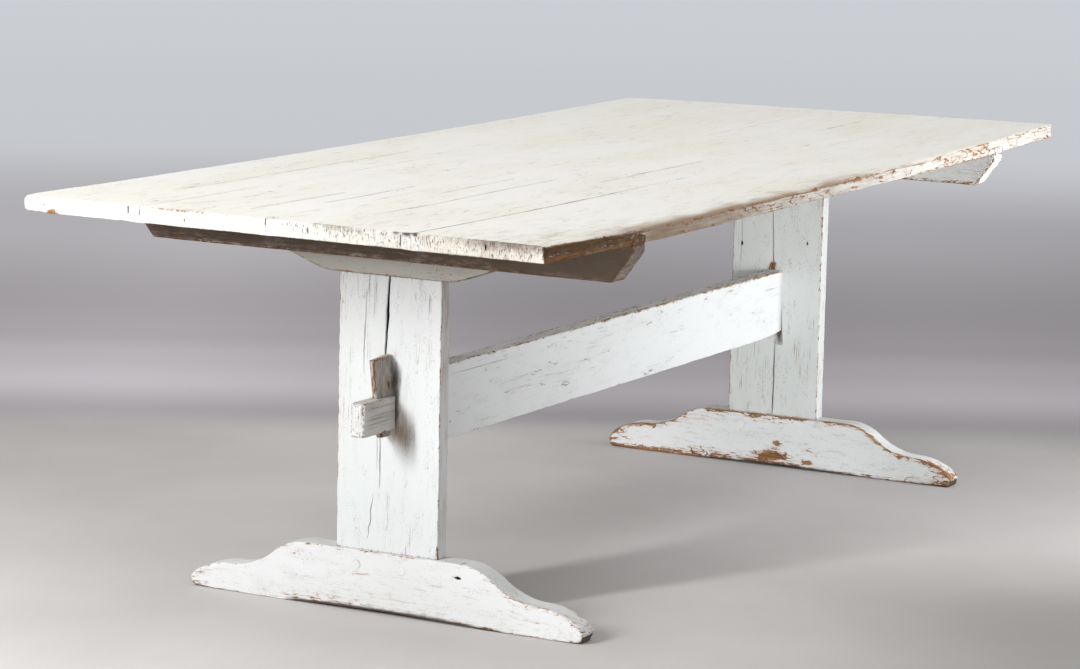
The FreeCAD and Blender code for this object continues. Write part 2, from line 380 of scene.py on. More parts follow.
BARE_DARK = (0.13, 0.06, 0.024)
BARE_LIGHT = (0.42, 0.215, 0.095)
RUBBED = (0.52, 0.33, 0.265)
# Grime, also laid as painted shade where the soil field carries it
GRIME_AND_SHADE = (0.085, 0.06, 0.042)
TAN = (0.46, 0.32, 0.2)
# Brown stain, also laid as painted warm light on upper faces and as painted shadow beside the left tusk
STAIN_LIGHT_AND_SHADE = (0.36, 0.255, 0.17)
STREAK = (0.27, 0.235, 0.195)
SPECK = (0.13, 0.105, 0.08)
# The cracks' black: dirt in them, and painted shade of their depth
CRACK_DARK = (0.012, 0.009, 0.007)
# Black, mixed into the floor as painted shade
PAINTED_SHADE_BLACK = (0.0, 0.0, 0.0)
GLOSS = 0.12


def worn_paint(name, axis, paint, aged, streaks=0.5, specks=0.5, patchy=0.5, lines=0.4, smudge=0.06,
               halo=(1.2 * MM, 0.12), mark=0.5, fibrous=0.0, calm=None):
    """Chalky paint over softwood: aged in patches, streaked and hair-cracked along the grain, rubbed to bare
    wood where the rub field says, browned and grimy where the stain and soil fields say, which also carry
    painted light and shade in places, and black in the cracks as dirt and painted shade of their depth.

    The mark share widens the fine lines for pieces that are seen from afar or at a slant; the fibrous share
    lets the bare places follow the fibres rather than flakes; between the calm places along X the streaks
    weaken; the halo is a crack's grime, by its reach and strength.
    """
    made = Finish(bpy.data.materials.new(name))
    rub, soil_and_shade, stain, split, end = (made.field(f) for f in FIELDS)
    saw_axis = Z if axis == X else X
    fibres = made.blend(end, made.grain(axis, 8, 380, 3), made.grain(saw_axis, 35, 420, 2.5, 0.6))
    flakes = made.grain(axis, 45, 150, 4, 0.65, 3.1)
    patches = made.grain(axis, 2.6, 7.5, 3, 0.5, 7.7)
    scuffs = made.grain(axis, 16, 48, 4, 0.6, 11.3)
    hairs = made.grain(axis, 11, 800 * mark, 2, 0.55, 1.9)
    ticks = made.grain(saw_axis, 130, 400, 2, 0.6, 4.7)
    dots = made.grain(axis, 260, 700, 2, 0.6, 5.3)
    fine = made.grain(axis, 500, 1400, 2)
    dashes = made.grain(axis, 22, 90, 2, 0.6, 2.3)
    contours = made.grain(axis, 5, 62 * mark, 3.5, 0.5, 9.1)
    curls = made.grain(axis, 22, 70, 2.5, 0.5, 13.7)

    # Where the paint is gone: rubbed places, broken up by flakes and outlined by curling paint
    loose = made.total(made.swing(flakes, 0.95 - 0.55 * fibrous), made.swing(fibres, 0.55 + 0.4 * fibrous),
                       made.swing(patches, 0.3))
    outline = made.ramp(made.off_middle(curls), 0.012, 0.035, 0.22, 0.0)
    gone = made.total(rub, loose, made.product(outline, made.ramp(rub, 0.2, 0.3)))
    bare = made.ramp(gone, 0.47, 0.54)
    wood = made.mix(made.ramp(fibres, 0.3, 0.7), BARE_DARK, BARE_LIGHT)
    wood = made.mix(made.ramp(scuffs, 0.5, 0.62, 0.0, 0.5), wood, TAN)

    # Streaks with hair cracks, and specks
    clouds = made.total(patches, made.swing(scuffs, 0.9))
    streak = made.product(made.ramp(hairs, 0.6, 0.7, 0.0, streaks), made.ramp(clouds, 0.47, 0.66, 0.03, 1.0))
    hairline = made.product(made.ramp(made.off_middle(contours), 0.003, 0.011, lines, 0.0),
                            made.ramp(dashes, 0.5, 0.6), made.ramp(clouds, 0.4, 0.6, 0.1, 1.0))
    streak = made.math("MAXIMUM", streak, hairline)
    if calm:
        along = made.add("SeparateXYZ", {0: made.add("TexCoord").outputs["Object"]}).outputs[0]
        streak = made.product(streak, made.ramp(along, *calm, 1.0, 0.4))
    dot = made.product(made.ramp(dots, 0.62, 0.68), made.ramp(scuffs, 0.46, 0.6, 0.1 * specks, specks))

    # Stains and dirt, with painted light and shade in places, and cracks, black with dirt and painted shade,
    # with grime beside them
    browned = made.total(stain, made.swing(scuffs, 0.5), made.swing(fibres, 0.4))
    flaked = made.math("MULTIPLY_ADD", flakes, made.blend(end, 0.8, 0.4), -0.4)
    darkening = made.total(soil_and_shade, made.swing(fibres, 0.34), made.swing(scuffs, 0.4), flaked)
    tick = made.product(made.ramp(ticks, 0.56, 0.64), made.ramp(soil_and_shade, 0.14, 0.4, 0.0, 0.9), end)
    broken = made.total(split, made.math("MULTIPLY_ADD", dashes, 1.2 * MM, -0.56 * MM))
    reach, strength = halo
    haze = made.product(made.ramp(broken, 0.0, reach, strength, 0.0), made.ramp(dashes, 0.36, 0.62, 0.2, 1.0))
    # The cracks' black share: dirt in them, and painted shade of their depth
    crack = made.ramp(broken, -0.4 * MM, 0.3 * MM, 1.0, 0.0)

    # Coats, each laid over those before it by its share
    colour = paint
    for share, coat in (
            (made.ramp(patches, 0.36, 0.66, 0.0, patchy), aged),
            (made.ramp(scuffs, 0.5, 0.75, 0.0, smudge), STREAK), (streak, STREAK), (dot, SPECK),
            (made.ramp(browned, 0.12, 0.85, 0.0, 0.95), STAIN_LIGHT_AND_SHADE),
            (made.ramp(gone, 0.24, 0.52, 0.0, 0.45), RUBBED), (bare, wood), (tick, SPECK),
            (made.ramp(darkening, 0.18, 0.95, 0.0, 0.96), GRIME_AND_SHADE), (haze, GRIME_AND_SHADE), (crack, CRACK_DARK)):
        colour = made.mix(share, colour, coat)

    # Relief and roughness
    height = made.total(made.product(bare, -1.0), made.product(fibres, 0.5), made.product(streak, -0.8),
                        made.product(fine, 0.25), made.product(scuffs, 0.5))
    bump = made.add("Bump", {"Strength": 0.5, "Distance": 0.7 * MM, "Height": height})
    rough = made.math("MULTIPLY_ADD", made.math("MAXIMUM", bare, crack), 0.25,
                      made.math("MULTIPLY_ADD", fine, 0.2, 0.5))
    shader = made.add("BsdfPrincipled", {"Base Color": colour, "Roughness": rough, "Specular IOR Level": GLOSS,
                                         "Normal": bump.outputs[0]})
    made.add("OutputMaterial", {"Surface": shader.outputs[0]})
    return made.owner


WHITE = (0.82, 0.825, 0.815)
CREAM = (0.82, 0.812, 0.775)
COOL = (0.75, 0.765, 0.75)
YELLOWED = (0.785, 0.76, 0.685)

top_finish = worn_paint("worn_top_paint", X, CREAM, YELLOWED, streaks=0.42, specks=0.3, lines=0.5, smudge=0.05,
                        halo=(4 * MM, 0.5), mark=0.22, fibrous=1.0, calm=(-0.5, 0.5), patchy=0.65)
batten_finish = worn_paint("worn_batten_paint", Y, WHITE, COOL, streaks=0.4)
foot_finish = worn_paint("worn_foot_paint", Y, (0.81, 0.825, 0.822), COOL, streaks=0.3, lines=0.3)
# The saddle's paint is greyer and darker than the rest, partly as painted shade under the batten
saddle_finish = worn_paint("worn_saddle_paint", Y, (0.5, 0.488, 0.445), (0.44, 0.43, 0.385), streaks=0.4,
                           specks=1.0, smudge=0.04)
left_leg_finish = worn_paint("worn_leg_paint", Z, (0.775, 0.80, 0.805), COOL, streaks=0.6, specks=0.6)
right_leg_finish = worn_paint("worn_far_leg_paint", Z, (0.73, 0.745, 0.735), (0.63, 0.66, 0.635), streaks=0.75,
                              specks=0.9, mark=0.35)
stretcher_finish = worn_paint("worn_stretcher_paint", X, (0.80, 0.813, 0.81), (0.745, 0.755, 0.74),
                              streaks=0.35, specks=0.4, lines=0.75)
wedge_finish = worn_paint("worn_wedge_paint", Z, (0.56, 0.53, 0.48), (0.44, 0.4, 0.35), streaks=0.7, specks=1.0)
peg_finish = worn_paint("worn_peg_paint", X, WHITE, COOL, streaks=0.2)


# The top

# Heights of the warped top's two long edges over a flat one, in mm, as they were read along it
WARP_PLACES = (-1.12, -0.9, -0.7, -0.5, -0.2, 0.1, 0.3, 0.6, 0.8, 1.0, 1.12)
FRONT_WARP = (-0.3, -3.6, -5.8, -5.2, -4.2, -3.2, -2.2, 1.2, 2.8, 6.8, 10.0)
BACK_WARP = (3.7, 2.2, 1.1, 0.2, -0.9, -1.7, -2.0, -1.5, -0.8, 0.4, 1.5)
WARP_CURVES = [np.polyfit(WARP_PLACES, heights, 5) for heights in (FRONT_WARP, BACK_WARP)]

TOP_HALF_WIDTH = 0.5
ROLL_WIDTH = 18 * MM
TONGUE_HALF = 22.5 * MM
ROOM = 0.3 * MM


def top_warp(points):
    """How far the top is bent: each long edge a smooth curve through its heights, straight across."""
    across = np.clip(points[:, Y] + TOP_HALF_WIDTH, 0, 1)
    front, back = (np.polyval(curve, points[:, X]) for curve in WARP_CURVES)
    return (front + (back - front) * across) * MM


def follow_warp(timber, low, high):
    """Bends a timber under the top with it: all of the warp at its upper end, none at its lower one."""
    timber.p[:, Z] += top_warp(timber.flat) * np.clip((timber.p[:, Z] - low) / (high - low), 0, 1)


def front_fall(x, inwards):
    """How far the worn front edge has rolled off: a quarter ellipse, deepest over the middle of the edge."""
    fall = 2 + 1.5 * step(-0.9, -1.05, x) + 5.5 * step(-1.06, -0.88, x) * step(0.78, 0.4, x)
    fall = fall + 2 * step(-0.95, -0.8, x) * step(-0.3, -0.65, x)
    share = np.clip(1 - inwards / ROLL_WIDTH, 0, 1)
    return fall * MM * (1 - np.sqrt(1 - share ** 2))


def top_crack(y, start, end, half):
    """A crack along the grain on the upper side of a plank."""
    return crack_on(ABOVE, Y, y, X, (start, end), half, 1.6, 0.12)


def end_spot(y, low, high, half):
    """A dark hole or tick in the end grain at the near end."""
    return crack_on(LEFT, Y, y, Z, (low, high), half, 3, 0.003, SPOT_LINES)


BOARD_CRACKS = {
    "back_board": [top_crack(0.352, -0.9, -0.1, 0.15), end_spot(0.455, 0.719, 0.723, 1.2),
                   end_spot(0.291, 0.720, 0.736, 0.8)],
    "back_middle_board": [top_crack(0.064, -0.86, -0.56, 0.35), top_crack(0.115, -1.02, -0.72, 0.25),
                          end_spot(0.182, 0.716, 0.721, 1.1)],
    "front_middle_board": [top_crack(-0.085, -0.95, -0.3, 0.25), top_crack(-0.02, -0.62, -0.35, 0.2),
                           top_crack(-0.168, -0.3, 0.12, 0.3), top_crack(-0.13, 0.76, 0.96, 0.1),
                           end_spot(-0.06, 0.718, 0.727, 1.0), end_spot(-0.236, 0.712, 0.73, 0.3)],
    "front_board": [end_spot(-0.392, 0.720, 0.730, 1.4), end_spot(-0.405, 0.709, 0.715, 0.7)],
}
BOARD_SEEDS = {"back_board": 11, "back_middle_board": 23, "front_middle_board": 37, "front_board": 53}
# Each seam's gap and the dirt in it, by its place across the top
SEAM_GAPS = {0.269: 0.05 * MM, 0.021: 0.1 * MM, -0.256: 0.35 * MM}
SEAM_DIRT = {0.269: 0.1, 0.021: 0.45, -0.256: 1.25}

# Marks on the planks: field, centre, radii and amount
NEAR_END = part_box("front_board")[0].x
PLANK_MARKS = [
    ("rub", (NEAR_END, 0.438, 0.709), (0.008, 0.009, 0.006), 0.75),
    ("soil_and_shade", (NEAR_END, 0.021, 0.732), (0.008, 0.0013, 0.008), 1.3),
    ("soil_and_shade", (NEAR_END, 0.269, 0.732), (0.008, 0.0013, 0.02), 0.7),
    ("rub", (NEAR_END, 0.19, 0.7345), (0.004, 0.07, 0.003), 0.22),
    *(("soil_and_shade", (NEAR_END, y, 0.7345), (0.008, 0.004, 0.005), 0.9) for y in (-0.228, -0.242, -0.25, -0.263)),
    ("soil_and_shade", (NEAR_END, -0.12, 0.732), (0.01, 0.06, 0.009), 0.3),
    ("soil_and_shade", (NEAR_END, -0.43, 0.735), (0.01, 0.09, 0.012), 0.35),
    ("rub", (0.49, -0.222, 0.735), (0.02, 0.003, 0.01), 0.6),
    ("soil_and_shade", (-1.0, -0.43, 0.735), (0.22, 0.1, 0.02), 0.16),
    ("stain", (-1.0, -0.43, 0.735), (0.22, 0.1, 0.02), 0.28),
]


def at_seam(values, y):
    """A seam's value at a plank's long edge, or nothing at the top's outer edges."""
    return next((value for seam, value in values.items() if abs(seam - y) < MM), 0.0)


def batten_grooves():
    """The tongues' grooves in the planks: boxes as wide as the tongue's head, from the underside up."""
    grooves = []
    for name in ("left_batten", "right_batten"):
        low, high = box_of(name)
        middle, half = (low[X] + high[X]) / 2, TONGUE_HALF + ROOM
        grooves.append(((middle - half, -1.0, 0.0), (middle + half, 1.0, high[Z] + ROOM)))
    return grooves


def mark_front_edge(t, from_front, face):
    """The top's front edge: rubbed in blotches, barest by the near corner, and browned on over the edge."""
    x, z = t.flat[:, X], t.flat[:, Z]
    upper = t.on(ABOVE)
    near = step(-0.74, -0.84, x)
    middle = step(-1.0, -0.7, x) * step(0.5, -0.1, x)
    smear = step(-1.1, -0.85, x) * step(1.0, 0.5, x)
    on_roll = fade(from_front, 0.012) * upper
    beside = fade(from_front, 0.04) * upper
    blotch = noise(t.flat, (0.05, 1.0, 0.016), 71) + 0.5 * noise(t.flat, (0.018, 1.0, 0.012), 73)
    uneven = 0.75 + 0.4 * noise(t.flat, (0.07, 0.03, 1.0), 79)
    t.rub += face * (0.2 + 0.36 * near + 0.15 * blotch) + 0.03 * on_roll + 0.04 * middle * beside
    t.stain += face * (0.34 + 0.38 * step(-0.15, -0.6, x)) * (1 - near)
    t.stain += (0.46 * middle + 0.26 * smear) * uneven * beside
    t.soil_and_shade += face * (0.04 + 0.06 * step(0.3, -0.5, x) + near * (0.2 + 0.2 * step(0.708, 0.728, z)))
    t.soil_and_shade += 0.04 * middle * beside


def plank(name):
    """A plank of the top: worn at the rim, sharp at its seams, grooved below, bent with the whole top.

    Its grain strays a little, and the near end runs out towards the back corner.
    """
    low, high = box_of(name)
    darkening = [at_seam(SEAM_DIRT, edge) for edge in (low[Y], high[Y])]
    low[Y] += at_seam(SEAM_GAPS, low[Y]) / 2
    high[Y] -= at_seam(SEAM_GAPS, high[Y]) / 2
    seed = BOARD_SEEDS[name]
    at_front, at_back = name == "front_board", name == "back_board"
    t = Timber(low, high, (9, 6, 5), BOARD_CRACKS[name], batten_grooves())
    x, y, z = t.flat.T
    from_front, from_back = y - low[Y], high[Y] - y
    upper, below = t.on(ABOVE), t.on(BELOW)
    near_end, far_end, face = fade(x - low[X], 0.004), fade(high[X] - x, 0.004), fade(from_front, 0.003)

    seam_side = np.minimum(1.0 if at_front else from_front, 1.0 if at_back else from_back)
    rim = step(0.004, 0.02, seam_side)
    radius = (0.35 + 2.6 * rim) * MM
    for corner_x in (low[X], high[X]):
        corner = np.hypot(x - corner_x, y - TOP_HALF_WIDTH)
        radius = radius + 7 * MM * np.exp(-(corner / 0.03) ** 2)

    t.soil_and_shade += 0.33 * near_end * step(0.06, -0.08, y) * (0.5 + 0.5 * step(0.712, 0.727, z)) + 0.3 * below
    t.rub += 0.03 * (near_end + far_end) + 0.12 * below
    t.stain += 0.32 * near_end * step(0.1, -0.25, y)
    t.mark(PLANK_MARKS)
    if at_front:
        mark_front_edge(t, from_front, face)
        rim = rim * (1 - 0.8 * fade(from_front, 0.012) * step(-0.95, -0.8, x))
    rim = rim * (1 - 0.55 * near_end)
    t.wear(seed, X, radius, 1.6 * MM * rim, 0.28 * rim + 0.02, 2.2 * MM, 0.45 * MM)
    broken = (0.7 + 0.4 * noise(t.flat, (0.14, 1.0, 0.02), seed + 9)) * (0.22 + 0.78 * step(0.2, -0.8, x))
    for side, amount in zip((from_front, from_back), darkening):
        t.soil_and_shade += amount * fade(side, 2.5 * MM) * broken * upper

    if at_front:
        rough = noise(t.flat, (0.035, 0.03, 0.012), 61) + 0.6 * noise(t.flat, (0.011, 0.03, 0.006), 67)
        t.p[:, Y] += 1.3 * MM * rough * face
        t.p[:, Z] -= front_fall(x, from_front) * (1 + 0.25 * rough) * (z - low[Z]) / (high[Z] - low[Z])
    t.p[:, Z] += top_warp(t.flat)
    across = from_front / (high[Y] - low[Y])
    t.p[:, Y] += 3.5 * MM * noise_along(x, 0.15, seed + 6) * 4 * across * (1 - across)
    skew = step(-0.8, -1.12, x)
    t.p[:, X] -= 6 * MM * skew * step(0.0, 0.5, y)
    t.p[:, Y] += 8 * MM * skew * step(0.269, 0.5, y)
    return t


for board in BOARD_SEEDS:
    place(board + "_plank", board, "top", top_finish, join(plank(board)))


def cross_batten(name, seed, grimy, tongue_worn, back_cut, front_rise):
    """A batten with its ends cut back below, and the dovetailed tongue that shows in the top's edges.

    Its lower side may rise a little to its front end.
    """
    low, high = box_of(name)
    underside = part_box("front_board")[0].z
    middle = (low[X] + high[X]) / 2
    body = Timber(low, (high[X], high[Y], underside), (6, 7, 6))
    y = body.flat[:, Y]
    cut = np.clip((underside - 15 * MM - body.p[:, Z]) / (55 * MM), 0, 1)
    body.fit(Y, low[Y] + 38 * MM * cut, high[Y] - back_cut * cut)
    body.fit(Z, low[Z] + front_rise * step(0.1, -0.4, y), underside)
    lower, slant = fade(body.p[:, Z] - low[Z], 0.006), body.on(FRONT)
    # Grime over the batten, less by its lower edge and on its slanted front end, whose lightness is partly
    # painted light
    body.soil_and_shade += grimy * (1 - 0.45 * lower) * np.where(slant, 0.55, 1)
    body.soil_and_shade += 0.12 * grimy * step(-0.1, -0.4, y) + 0.1 * slant
    body.stain += 0.75 * grimy
    body.rub += 0.06 + 0.12 * lower
    body.wear(seed, Y, 1.8 * MM, 2.0 * MM, 0.55, 4 * MM)
    follow_warp(body, low[Z], underside)

    tongue = Timber((middle - TONGUE_HALF, low[Y] - 0.6 * MM, underside - 2 * MM),
                    (middle + TONGUE_HALF, high[Y] + 0.6 * MM, high[Z]), (5, 9, 4))
    flare = 4 * MM * np.clip((high[Z] - tongue.p[:, Z]) / (14 * MM), 0, 1)
    tongue.fit(X, middle - TONGUE_HALF + flare, middle + TONGUE_HALF - flare)
    tongue.soil_and_shade += 0.75 * tongue_worn
    tongue.rub += 0.08 + 0.42 * tongue_worn
    tongue.wear(seed + 5, Y, 1.0 * MM, 1.0 * MM, 0.3, 4 * MM)
    tongue.p[:, Z] += top_warp(tongue.flat)
    return join(body, tongue)


left_bar = cross_batten("left_batten", 71, grimy=0.85, tongue_worn=0.9, back_cut=47 * MM, front_rise=0.0)
right_bar = cross_batten("right_batten", 83, grimy=-0.12, tongue_worn=0.1, back_cut=38 * MM, front_rise=6 * MM)
place("left_batten_bar", "left_batten", "top", batten_finish, left_bar)
place("right_batten_bar", "right_batten", "top", batten_finish, right_bar)


# The trestles

# The foot's upper line, from its middle out: crest, arcs as run and rise, and the toe's round as a cubic curve
FOOT_HALF = 0.402
CREST_HIGH, CREST_END = 0.110, 0.155
ROUND_ARC, HOLLOW_ARC = (0.06996, 0.02464), (0.08904, 0.03136)
TOE_HIGH, TOE_CROWN, TOE_LEAST = 0.054, 0.314, 0.024
TOE_OUT, TOE_UP = (FOOT_HALF, FOOT_HALF, 0.3536, TOE_CROWN), (0.018, 0.0306, TOE_HIGH, TOE_HIGH)
# Extra lattice lines over the toe's round, in from its nose
TOE_LINES = (0.002, 0.005, 0.009, 0.014, 0.02, 0.028, 0.037)


def level_arc(run, rise, along):
    """Height of an upright arc over a run, level where it starts: its radius less the leg of the triangle."""
    radius = (run ** 2 + rise ** 2) / (2 * rise)
    return radius - np.sqrt(radius ** 2 - np.clip(along, 0, run) ** 2)


def toe_round(y):
    """Height of the toe's upper round, read from its cubic curve between the nose and the crown."""
    t = np.linspace(0, 1, 80)
    shares = np.stack([(1 - t) ** 3, 3 * t * (1 - t) ** 2, 3 * t ** 2 * (1 - t), t ** 3], axis=1)
    return np.interp(y, (shares @ TOE_OUT)[::-1], (shares @ TOE_UP)[::-1])


def foot_crest(y):
    """The foot's upper line: level crest, round arc, hollow arc, then the toe's round."""
    y = np.abs(y)
    round_part = CREST_HIGH - level_arc(*ROUND_ARC, y - CREST_END)
    hollow_part = TOE_HIGH + level_arc(*HOLLOW_ARC, TOE_CROWN - y)
    line = np.where(y < CREST_END + ROUND_ARC[0], round_part, hollow_part)
    return np.maximum(np.where(y > TOE_CROWN, toe_round(y), line), TOE_LEAST)


def shaped_foot(name, seed, wear, back_rise, marks, cracks=()):
    """A foot: its crest line and hollow sole carried through its thickness, flaked along its lower edge.

    Its back toe stands a little higher or lower than the front one, and the gap under its sole is painted dark
    as a shadow.
    """
    low, high = box_of(name)
    middle = (low[Y] + high[Y]) / 2
    ends = [middle + side * (FOOT_HALF - line) for side in (-1, 1) for line in TOE_LINES]
    t = Timber(low, high, (5, 5, 5), cracks, y_marks=ends)
    y = t.flat[:, Y] - middle
    out = np.abs(y)
    sole = 5 * MM * np.clip(1 - (y / 0.206) ** 2, 0, None) + 11 * MM * np.clip((out - 0.395) / 0.007, 0, 1) ** 2
    t.fit(Z, sole, foot_crest(y) + back_rise * step(0.19, 0.28, y) * step(0.41, 0.37, y))
    z, from_sole = t.p[:, Z], t.p[:, Z] - t.low[:, Z]
    toe, low_part = step(0.33, 0.39, out), fade(z, 0.012)
    crest = fade(t.high[:, Z] - z, 0.004) * fade(t.p[:, X] - low[X], 0.006)
    painted_gap_shadow = fade(from_sole, 3.5 * MM) * step(0.25, 0.18, np.abs(y + 0.03))
    t.rub += wear * (0.12 * low_part + 0.2 * toe) + 0.06 + 0.1 * noise(t.flat, (0.03, 0.1, 0.014), seed + 8)
    t.rub += 0.34 * wear ** 2 * crest
    # Grime low down and at the toes, painted shade over the whole sole, and a painted shadow for the gap under
    # the hollow
    t.soil_and_shade += 0.1 * low_part + 0.06 * toe + t.on(BELOW) + (2.4 - 1.9 * wear) * painted_gap_shadow
    # A warm brown tint on the upper faces, painted as warm light from above
    t.stain += 0.16 * t.on(ABOVE)
    sharper = 1 - 0.75 * fade(from_sole, 0.006) * step(0.3, 0.2, out)
    radius, chip = (2.5 + 4 * toe) * sharper * MM, (1.5 + 2 * toe) * sharper * MM
    ragged = 0.8 + 0.45 * noise(t.flat, (0.03, 0.035, 0.012), seed + 9)
    t.wear(seed, Y, radius, chip, (0.5 * wear ** 1.4 + 0.04) * ragged, (2.5 + 4.5 * wear) * MM, 0.8 * MM)
    t.mark(marks)
    return t


# A foot's holes, and the places where its paint is rubbed off
LEFT_FOOT_CRACKS = [
    crack_on(LEFT, Z, 0.084, Y, (-0.155, -0.141), 2.8, 9, 0.006),
    crack_on(LEFT, Z, 0.019, Y, (0.371, 0.379), 1.5, 3, 0.004),
    crack_on(ABOVE, Y, -0.153, X, (-0.762, -0.735), 1.0, 4, 0.01),
]
LEFT_FOOT_MARKS = [
    ("rub", (-0.7605, 0.11, 0.012), (0.02, 0.09, 0.016), 0.16),
    ("rub", (-0.7605, 0.05, 0.066), (0.02, 0.03, 0.005), 0.18),
    ("rub", (-0.7605, 0.17, 0.09), (0.02, 0.025, 0.006), 0.18),
]
RIGHT_FOOT_MARKS = [
    ("rub", (0.836, -0.004, 0.019), (0.02, 0.030, 0.010), 0.8),
    ("rub", (0.836, -0.017, 0.046), (0.02, 0.008, 0.005), 0.7),
    ("rub", (0.836, -0.088, 0.013), (0.02, 0.014, 0.006), 0.7),
    ("rub", (0.836, 0.20, 0.01), (0.02, 0.14, 0.012), 0.25),
    ("rub", (0.836, -0.02, 0.035), (0.02, 0.1, 0.03), 0.12),
]

left_foot = shaped_foot("left_foot", 101, 0.45, -2 * MM, LEFT_FOOT_MARKS, LEFT_FOOT_CRACKS)
right_foot = shaped_foot("right_foot", 131, 0.85, 6 * MM, RIGHT_FOOT_MARKS)
place("left_foot_beam", "left_foot", "frame", foot_finish, join(left_foot))
place("right_foot_beam", "right_foot", "frame", foot_finish, join(right_foot))

SADDLE_LEVEL, SADDLE_BEVEL, SADDLE_RISE = 0.115, 0.195, 65 * MM
BEVEL_EASED = 0.16


def bearer(name, seed):
    """A saddle: level below the leg, bevelled up to its ends, with a soft turn between."""
    low, high = box_of(name)
    t = Timber(low, high, (6, 6, 6))
    out = np.clip((np.abs(t.flat[:, Y]) - SADDLE_LEVEL) / SADDLE_BEVEL, 0, 1)
    soft = np.where(out < BEVEL_EASED, out ** 2 / (2 * BEVEL_EASED), out - BEVEL_EASED / 2)
    t.fit(Z, low[Z] + SADDLE_RISE * (soft / (1 - BEVEL_EASED / 2)), high[Z])
    # Painted shadow of the batten darkens the saddle's upper part; grime lines its lower edge
    t.soil_and_shade += 0.5 * step(0.622, 0.65, t.p[:, Z]) + 0.5 * fade(t.p[:, Z] - t.low[:, Z], 3 * MM)
    t.wear(seed, Y, 2.5 * MM, 1.6 * MM, 0.45, 3 * MM)
    follow_warp(t, low[Z], high[Z])
    return t


for saddle, seed in (("left_saddle", 151), ("right_saddle", 163)):
    place(saddle + "_bearer", saddle, "frame", saddle_finish, join(bearer(saddle, seed)))

LEFT_FACE, RIGHT_FACE = -0.738, 0.8585
LEG_HALF_THICK, LEG_HALF_WIDE, LEG_LOW, LEG_HIGH = 0.015, 0.103, 0.110, 0.600
LEG_EMBED = 8 * MM
RAIL_LOW, RAIL_HIGH = 0.285, 0.421
rail_front, rail_back = (corner.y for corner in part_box("stretcher"))
HOUSING_INSET, HOUSING_LOW = 0.010, 0.273
TUSK_Y = sum(corner.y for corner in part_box("left_wedge")) / 2
TUSK_HALF = 14 * MM
TUSK_LOW, TUSK_HIGH = 0.331, 0.391
THROUGH = 0.1
# An open pocket beside the right housing: front, back, bottom and top
POCKET = (-0.0185, 0.0, 0.262, 0.336)


def plank_leg(middle, outward, seed, cracks, pocket, wander, marks):
    """A plank leg with the tusk's mortise and the stretcher's housing; its cracks wander across as they run."""
    low = (middle - LEG_HALF_THICK, -LEG_HALF_WIDE, LEG_LOW - LEG_EMBED)
    high = (middle + LEG_HALF_THICK, LEG_HALF_WIDE, LEG_HIGH + LEG_EMBED)
    mortise = ((middle - THROUGH, TUSK_Y - TUSK_HALF - ROOM, TUSK_LOW - ROOM),
               (middle + THROUGH, TUSK_Y + TUSK_HALF + ROOM, TUSK_HIGH + ROOM))
    inner_low, inner_high = sorted((middle - outward * HOUSING_INSET, middle - outward * THROUGH))
    housing = ((inner_low, rail_front - ROOM, HOUSING_LOW), (inner_high, rail_back + ROOM, RAIL_HIGH + ROOM))
    holes = [mortise, housing]
    if pocket:
        front, back, bottom, top = pocket
        holes.append(((inner_low, front, bottom), (inner_high, back, top)))
    upright = [crack_on(side, Y, y, Z, *row) for side, y, *row in cracks]
    t = Timber(low, high, (5, 5, 5), upright, holes)
    y, z = t.flat[:, Y], t.flat[:, Z]
    from_end = np.clip(np.minimum(z - LEG_LOW, LEG_HIGH - z), 0, None)
    # A thin dark line at each end where the leg meets the foot and the saddle: grime, and painted contact shade
    t.soil_and_shade += 0.45 * fade(from_end, 0.0018)
    t.rub += 0.12 * fade(from_end, 0.006)
    edge_rub, edge_width = 0.52, 2.6 * MM
    if outward < 0:
        front_side = t.on(FRONT)
        # On the near leg's front side: grime, with painted shade growing upwards under the top; over the right
        # half of its outer face, painted shade
        t.soil_and_shade += front_side * (0.06 + 0.14 * step(0.35, 0.6, z)) + 0.05 * t.on(LEFT) * step(0.0, -0.1, y)
        t.rub += 0.03 * front_side
        t.stain += front_side * (0.32 + 0.1 * step(0.3, 0.6, z))
        edge_rub, edge_width = 0.4, 2.2 * MM
    t.wear(seed, Z, 1.7 * MM, 1.6 * MM, edge_rub, edge_width, 0.6 * MM)
    t.p[:, Y] += wander(z) * (1 - (y / LEG_HALF_WIDE) ** 4)
    t.mark(marks)
    return t


def left_wander(z):
    """How far the left leg's grain strays across it at each height."""
    heights = [0.11, 0.14, 0.16, 0.19, 0.3, 0.466, 0.515, 0.555, 0.6]
    strays = [12, 8, 3, 0, 0, 4.6, 2.3, 1.0, -2.2]
    jag = (0.4 + 2.0 * step(0.24, 0.19, z)) * noise_along(z, 0.01, 5)
    return (np.interp(z, heights, strays) + jag) * MM


def right_wander(z):
    """How far the right leg's grain strays across it at each height."""
    return (np.interp(z, [0.1, 0.26, 0.42, 0.6], [-1, -1, 6, 12]) + 0.9 * noise_along(z, 0.03, 9)) * MM


